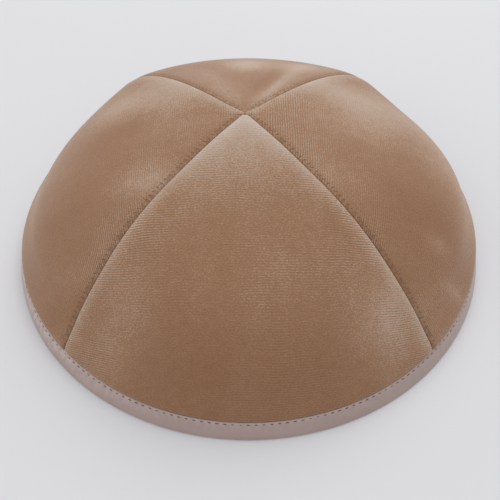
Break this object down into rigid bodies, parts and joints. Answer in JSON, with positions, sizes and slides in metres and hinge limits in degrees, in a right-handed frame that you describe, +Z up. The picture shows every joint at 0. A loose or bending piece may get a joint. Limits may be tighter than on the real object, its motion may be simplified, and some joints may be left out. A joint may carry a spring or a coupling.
{
  "type": "velvet skullcap (kippah)",
  "caption": "Low dome skullcap sewn from velvet panels with seams crossing at the top and a smooth folded binding round the rim; rests on its rim, hollow below.",
  "frame": {"origin": "centre of the rim on the surface that the cap rests on", "axes": "+Z up through the top of the dome; the front panel faces -Y; +X to the right"},
  "size_m": [0.1796, 0.1795, 0.0562],
  "materials": {
    "velvet": "brown-grey velvet with fine cross ribs and a soft sheen",
    "binding_leather": "smooth mauve-brown, half matt"
  },
  "bodies": {
    "root": {"panel_front": "velvet", "panel_right": "velvet", "panel_back": "velvet", "panel_left": "velvet", "binding": "binding_leather"}
  },
  "joints": []
}
